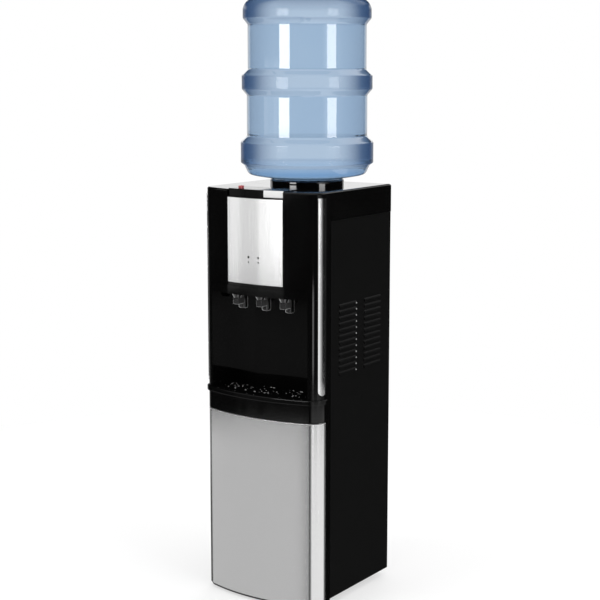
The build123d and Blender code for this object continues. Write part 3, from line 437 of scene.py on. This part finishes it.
def addBump(tree, effect, scale, depth):
    bump = addNode(tree, "ShaderNodeBump")
    bump.inputs["Strength"].default_value = optionSettings["bumpStrength"]
    bump.inputs["Distance"].default_value = depth
    tree.links.new(placeEffect(tree, effect, scale)["Mask"], bump.inputs["Height"])
    return bump.outputs[0]


colourOptions = {
    "paintedSheen": addPaintedSheen,
    "facedWithGapShade": addFacedWithGapShade,
    "paintedGlints": addPaintedGlints,
    "paintedGlintSpots": addGlintSpots,
    "gapShadeLine": addGapShadeLine,
}


def makeFinish(name, s):
    material = bpy.data.materials.new(name)
    material.use_nodes = True
    tree = material.node_tree
    shader = tree.nodes["Principled BSDF"]
    colour = mixColours(tree, placeEffect(tree, *s["tintBy"])["Value"], *s["colours"])
    for option, change in colourOptions.items():
        if option in s:
            colour = change(tree, colour, s[option])
    rough = placeEffect(tree, *s["roughBy"])["Value"]
    if "mattEdge" in s:
        rough = addMattEdge(tree, rough, s["mattEdge"])
    tree.links.new(colour, shader.inputs["Base Color"])
    tree.links.new(rough, shader.inputs["Roughness"])
    if "bumpBy" in s:
        tree.links.new(addBump(tree, *s["bumpBy"]), shader.inputs["Normal"])
    for label, value in s.get("shader", {}).items():
        shader.inputs[label].default_value = value
    return material


def grey(level):
    return (level, level, level)


# an effect is its name and scale, then low and high for roughness or the depth for bump
finishSettings = {
    "black_gloss": {
        "colours": (grey(0.0018), grey(0.0026)), "tintBy": ("smudge", 7.0),
        "roughBy": ("smudge", 11.0, 0.04, 0.08), "bumpBy": ("grain", 160.0, 0.000004),
        "shader": {"Specular IOR Level": 0.3},
    },
    "black_steel": {
        "colours": (grey(0.0034), grey(0.0048)), "tintBy": ("grain", 1500.0),
        "roughBy": ("grain", 700.0, 0.34, 0.44), "bumpBy": ("grain", 1300.0, 0.00004),
        "shader": {"Specular IOR Level": 0.12},
    },
    "silver_door": {
        "colours": (grey(0.56), grey(0.63)), "tintBy": ("grain", 2600.0),
        "roughBy": ("grain", 1800.0, 0.11, 0.15), "bumpBy": ("grain", 400.0, 0.00002),
        "mattEdge": {"node": "door_panel", "depth": 0.0018, "rough": 0.55},
        "shader": {"Metallic": 0.85},
    },
    "silver_panel": {
        "colours": (grey(0.82), grey(0.88)), "tintBy": ("brushed", 900.0),
        "roughBy": ("brushed", 700.0, 0.11, 0.15), "bumpBy": ("brushed", 900.0, 0.000004),
        # painted shade: a dark line along the panel's upper edge for the gap under the keys
        "gapShadeLine": {"node": "control_panel", "depth": 0.0018, "colour": grey(0.003)},
        "shader": {"Metallic": 0.75},
    },
    "silver_key": {
        "colours": (grey(0.80), grey(0.86)), "tintBy": ("grain", 2200.0),
        "roughBy": ("grain", 1500.0, 0.10, 0.16),
        # painted shade: the key stays dark up to just above the panel's top, as the shade of the gap
        "facedWithGapShade": {"over": "control_panel", "edge": 0.0017, "colour": grey(0.0036)},
        "shader": {"Specular IOR Level": 0.3},
    },
    "chrome": {
        "colours": (grey(0.84), grey(0.90)), "tintBy": ("smudge", 12.0),
        "roughBy": ("smudge", 18.0, 0.06, 0.12),
        "shader": {"Metallic": 1.0},
    },
    "tap_black": {
        "colours": (grey(0.004), grey(0.007)), "tintBy": ("smudge", 25.0),
        # painted sheen: the taps turn pale grey towards their outlines, standing in for edge highlights
        "roughBy": ("smudge", 30.0, 0.12, 0.20), "paintedSheen": {"facing": (0.34, 0.85), "colour": grey(0.80)},
        "shader": {"Specular IOR Level": 0.8},
    },
    "black_plastic": {
        "colours": (grey(0.010), grey(0.016)), "tintBy": ("grain", 1200.0),
        "roughBy": ("grain", 900.0, 0.34, 0.46), "bumpBy": ("grain", 1600.0, 0.00004),
        "shader": {"Specular IOR Level": 0.4},
    },
    "red_plastic": {
        "colours": ((0.50, 0.095, 0.105), (0.57, 0.125, 0.130)), "tintBy": ("grain", 1100.0),
        "roughBy": ("grain", 900.0, 0.28, 0.38),
    },
    "liner_white": {
        "colours": (grey(0.72), grey(0.78)), "tintBy": ("smudge", 8.0),
        "roughBy": ("grain", 900.0, 0.36, 0.46),
    },
    "rubber_black": {
        "colours": (grey(0.014), grey(0.024)), "tintBy": ("grain", 600.0),
        "roughBy": ("grain", 900.0, 0.66, 0.82), "bumpBy": ("grain", 1100.0, 0.00006),
    },
    "hose_clear": {
        "colours": ((0.74, 0.78, 0.78), (0.82, 0.85, 0.85)), "tintBy": ("smudge", 30.0),
        "roughBy": ("smudge", 40.0, 0.28, 0.40),
        "shader": {"Transmission Weight": 0.35},
    },
    "rod_white": {
        "colours": (grey(0.76), grey(0.82)), "tintBy": ("grain", 900.0),
        "roughBy": ("grain", 700.0, 0.38, 0.48),
    },
    "zinc_steel": {
        "colours": (grey(0.46), grey(0.62)), "tintBy": ("crystal", 140.0),
        "roughBy": ("crystal", 140.0, 0.32, 0.50),
        "shader": {"Metallic": 1.0},
    },
    "tank_steel": {
        "colours": (grey(0.56), grey(0.66)), "tintBy": ("brushed", 500.0),
        "roughBy": ("brushed", 500.0, 0.20, 0.34),
        "shader": {"Metallic": 1.0},
    },
    "foam_white": {
        "colours": (grey(0.78), grey(0.86)), "tintBy": ("crystal", 260.0),
        "roughBy": ("grain", 400.0, 0.82, 0.94), "bumpBy": ("crystal", 260.0, 0.0006),
    },
    "pot_black": {
        "colours": (grey(0.008), grey(0.014)), "tintBy": ("smudge", 14.0),
        "roughBy": ("smudge", 22.0, 0.22, 0.38), "bumpBy": ("grain", 300.0, 0.00005),
    },
    "copper": {
        "colours": ((0.66, 0.28, 0.15), (0.80, 0.42, 0.25)), "tintBy": ("smudge", 26.0),
        "roughBy": ("smudge", 34.0, 0.20, 0.42),
        "shader": {"Metallic": 1.0},
    },
    "lamp_lens": {
        "colours": (grey(0.010), grey(0.020)), "tintBy": ("grain", 900.0),
        "roughBy": ("grain", 700.0, 0.10, 0.16),
    },
    "board_green": {
        "colours": ((0.010, 0.110, 0.040), (0.020, 0.150, 0.055)), "tintBy": ("grain", 500.0),
        "roughBy": ("grain", 700.0, 0.36, 0.48),
    },
    "bottle_blue": {
        "colours": ((0.34, 0.48, 0.66), (0.37, 0.51, 0.68)), "tintBy": ("smudge", 5.0),
        "roughBy": ("smudge", 9.0, 0.02, 0.05),
        "shader": {"Transmission Weight": 1.0, "IOR": 1.12, "Coat Weight": 1.0, "Coat Roughness": 0.02},
    },
    "cap_blue": {
        "colours": ((0.020, 0.120, 0.420), (0.030, 0.150, 0.500)), "tintBy": ("grain", 700.0),
        "roughBy": ("grain", 900.0, 0.34, 0.46),
    },
}

# nodes whose finish departs from that of their slot
specialSettings = {
    "grilleGloss": {
        "nodes": ("drip_grille",), "slot": "black_gloss",
        # painted glints: pale patches on the walls of the grille's slots
        "change": {"paintedGlints": {"scale": 300.0, "colour": grey(0.48)}},
    },
    "collarGloss": {
        "nodes": ("bottle_collar",), "slot": "black_gloss",
        "change": {"shader": {"Specular IOR Level": 0.9}},
    },
    "keyGloss": {
        "nodes": ("key_hot", "key_room"), "slot": "black_gloss",
        "change": {"shader": {"Specular IOR Level": 0.08}},
    },
    "sideSteel": {
        "nodes": ("side_panel_left", "side_panel_right"), "slot": "black_steel",
        "change": {
            # painted highlights: bright spots at the louvre ends, standing in for glints
            "paintedGlintSpots": {
                "node": "side_panel_right", "inset": 0.0015, "lift": 0.0022, "radius": 0.0018,
                "colour": grey(0.34),
            },
        },
    },
}


def paintNodes(special):
    painted = {}
    for name, s in special.items():
        finish = makeFinish(name, {**finishSettings[s["slot"]], **s["change"]})
        painted.update(dict.fromkeys(s["nodes"], finish))
    rows = frame["record"]["subparts"]
    for row in rows:
        mesh = nodes[row["node"]].data
        mesh.materials.clear()
        mesh.materials.append(painted.get(row["node"], finishes[row["material_slot"]]))
    return len(rows)


finishes = {slot: makeFinish(slot, s) for slot, s in finishSettings.items()}
print("nodes painted:", paintNodes(specialSettings))


# The filled bottle, turned from the outline of its nodes, with heights above the collar's top
bottleSettings = {
    "nodes": ("bottle", "bottle_neck", "bottle_base"),
    "rows": 260,
    "baseRows": 30,
    "turns": 128,
    "rayStart": 0.1,       # how far outside the rays begin
    "rayAside": 0.0001,    # keeps the rays off the seams between mesh faces
    "rayTrim": 0.0003,     # keeps them off both ends
    "probeRoom": 0.004,
    "bands": ((0.0334, 0.0760), (0.1844, 0.2124), (0.3274, 0.3860)),
    "bandFade": 0.002,
    "bandColour": (0.43, 0.55, 0.70),
    "bandRough": 0.22,
    "bandCoat": 0.2,
    "edgeColour": (0.040, 0.085, 0.190),
    "edgeFacing": (0.03, 0.48),
    "waistEdge": 0.2,      # share of the edge colour between the bands
    "domeHeight": (0.342, 0.368),
    "bowlColour": (0.16, 0.34, 0.62),
    "bowlHeight": (0.004, 0.036),
}


def meshTree(*names):
    points, faces = [], []
    for name in names:
        mesh = nodes[name].data
        faces += [[i + len(points) for i in p.vertices] for p in mesh.polygons]
        points += [v.co.copy() for v in mesh.vertices]
    return BVHTree.FromPolygons(points, faces)


def bottleOutline(s):
    tree = meshTree(*s["nodes"])
    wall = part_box("bottle")
    middle = (wall[0] + wall[1]) / 2
    aside = middle.y + s["rayAside"]
    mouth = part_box("bottle_neck")[0].z + s["rayTrim"]
    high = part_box("bottle_base")[1].z
    tall = high - s["rayTrim"] - mouth
    outline = []
    for row in range(s["rows"] + 1):
        z = mouth + tall * row / s["rows"]
        hit = tree.ray_cast(Vector((wall[1].x + s["rayStart"], aside, z)), Vector((-1, 0, 0)))[0]
        outline.append((hit.x - middle.x, z))
    rim = outline[-1][0]
    for row in range(1, s["baseRows"]):
        radius = rim * (1 - row / s["baseRows"])
        above = Vector((middle.x + radius, aside, high + s["rayStart"]))
        outline.append((radius, tree.ray_cast(above, Vector((0, 0, -1)))[0].z))
    outline.append((0, outline[-1][1]))
    # a bore in the neck leaves room for the feed probe
    bore = tree.ray_cast(Vector((middle.x, aside, mouth)), Vector((1, 0, 0)))[0].x - middle.x
    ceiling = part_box("feed_probe")[1].z + s["probeRoom"]
    return middle, [(0, ceiling), (bore, ceiling), (bore, mouth), *outline]


def turnOutline(name, middle, outline, turns):
    shape = bmesh.new()
    rings = []
    for radius, z in outline:
        count = turns if radius > 0 else 1
        ring = []
        for step in range(count):
            angle = 2 * pi * step / turns
            x = middle.x + radius * cos(angle)
            y = middle.y + radius * sin(angle)
            ring.append(shape.verts.new((x, y, z)))
        rings.append(ring)
    for lower, upper in zip(rings, rings[1:]):
        for step in range(turns):
            following = (step + 1) % turns
            corners = [lower[step % len(lower)], lower[following % len(lower)],
                       upper[following % len(upper)], upper[step % len(upper)]]
            shape.faces.new(list(dict.fromkeys(corners)))
    bmesh.ops.recalc_face_normals(shape, faces=shape.faces)
    for face in shape.faces:
        face.smooth = True
    return shapeToObject(name, shape)


def bottleFinish(s):
    # bands are paler in front and turn deep blue towards their edges
    material = makeFinish("bottleFilled", finishSettings["bottle_blue"])
    tree = material.node_tree
    shader = tree.nodes["Principled BSDF"]
    colour = shader.inputs["Base Color"].links[0].from_socket
    rough = shader.inputs["Roughness"].links[0].from_socket
    height = objectPlace(tree)["Z"]
    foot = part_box("bottle_collar")[1].z
    fade = s["bandFade"]
    band = 0.0
    for low, high in s["bands"]:
        one = windowMask(tree, height, foot + low, foot + high, fade, fade)
        band = mathNode(tree, "MAXIMUM", one, band)
    edge = facingRamp(tree, *s["edgeFacing"])
    edge = mathNode(tree, "MULTIPLY", edge, rampValue(tree, band, 0, 1, s["waistEdge"], 1.0))
    dome = rampValue(tree, height, *(foot + v for v in s["domeHeight"]))
    edge = mathNode(tree, "MAXIMUM", edge, dome)
    aboveBowl = rampValue(tree, height, *(foot + v for v in s["bowlHeight"]))
    colour = mixColours(tree, band, colour, s["bandColour"])
    colour = mixColours(tree, aboveBowl, s["bowlColour"], colour)
    colour = mixColours(tree, edge, colour, s["edgeColour"])
    rough = mathNode(tree, "MAXIMUM", rough, mathNode(tree, "MULTIPLY", band, s["bandRough"]))
    tree.links.new(colour, shader.inputs["Base Color"])
    tree.links.new(rough, shader.inputs["Roughness"])
    tree.links.new(rampValue(tree, band, 0, 1, 1.0, s["bandCoat"]), shader.inputs["Coat Weight"])
    return material


def makeBottle(s):
    middle, outline = bottleOutline(s)
    piece = turnOutline("bottleFilled", middle, outline, s["turns"])
    piece.data.materials.append(bottleFinish(s))
    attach(piece, "bottle")
    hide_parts(*s["nodes"])


makeBottle(bottleSettings)
print("bottle turned")


# Small marks under the two lamps
markSettings = {
    "drop": 0.0095,        # below the lamp centre
    "size": 0.0042,
    "proud": 0.00012,
    "deep": 0.0005,
    "rayStart": 0.05,
    "flameSteps": 20,
    "flameWidth": 0.36,    # half width as a share of the size
    "flameTaper": 1.5,
    "snowTurns": (0, 60, 120),
    "snowBar": 0.0007,
}


def flameOutline(s):
    points = []
    for step in range(1, s["flameSteps"]):
        angle = 2 * pi * step / s["flameSteps"]
        narrow = s["flameWidth"] * s["size"] * sin(angle) * sin(angle / 2) ** s["flameTaper"]
        points.append((narrow, s["size"] / 2 * cos(angle)))
    return [points]


def snowOutline(s):
    side, end = s["snowBar"] / 2, s["size"] / 2
    corners = [(-side, -end), (side, -end), (side, end), (-side, end)]
    bars = []
    for turn in s["snowTurns"]:
        c, d = cos(radians(turn)), sin(radians(turn))
        bars.append([(c * u - d * v, d * u + c * v) for u, v in corners])
    return bars


def layMark(name, outlines, x, z, s):
    tree = meshTree("control_panel")
    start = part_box("control_panel")[0].y - s["rayStart"]
    shape = bmesh.new()
    for outline in outlines:
        skin = []
        back = []
        for u, v in outline:
            hit = tree.ray_cast(Vector((x + u, start, z + v)), Vector((0, 1, 0)))[0]
            skin.append(shape.verts.new((x + u, hit.y - s["proud"], z + v)))
            back.append(shape.verts.new((x + u, hit.y - s["proud"] + s["deep"], z + v)))
        shape.faces.new(skin)
        shape.faces.new(back[::-1])
        for a in range(len(skin)):
            b = (a + 1) % len(skin)
            shape.faces.new((skin[a], back[a], back[b], skin[b]))
    bmesh.ops.recalc_face_normals(shape, faces=shape.faces)
    piece = shapeToObject(name, shape)
    piece.data.materials.append(finishes["black_plastic"])
    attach(piece, "cabinet")


def makeMarks(s):
    low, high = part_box("led_lenses")
    half = (high.z - low.z) / 2
    z = (low.z + high.z) / 2 - s["drop"]
    layMark("hotMark", flameOutline(s), low.x + half, z, s)
    layMark("coldMark", snowOutline(s), high.x - half, z, s)


makeMarks(markSettings)
print("marks laid")
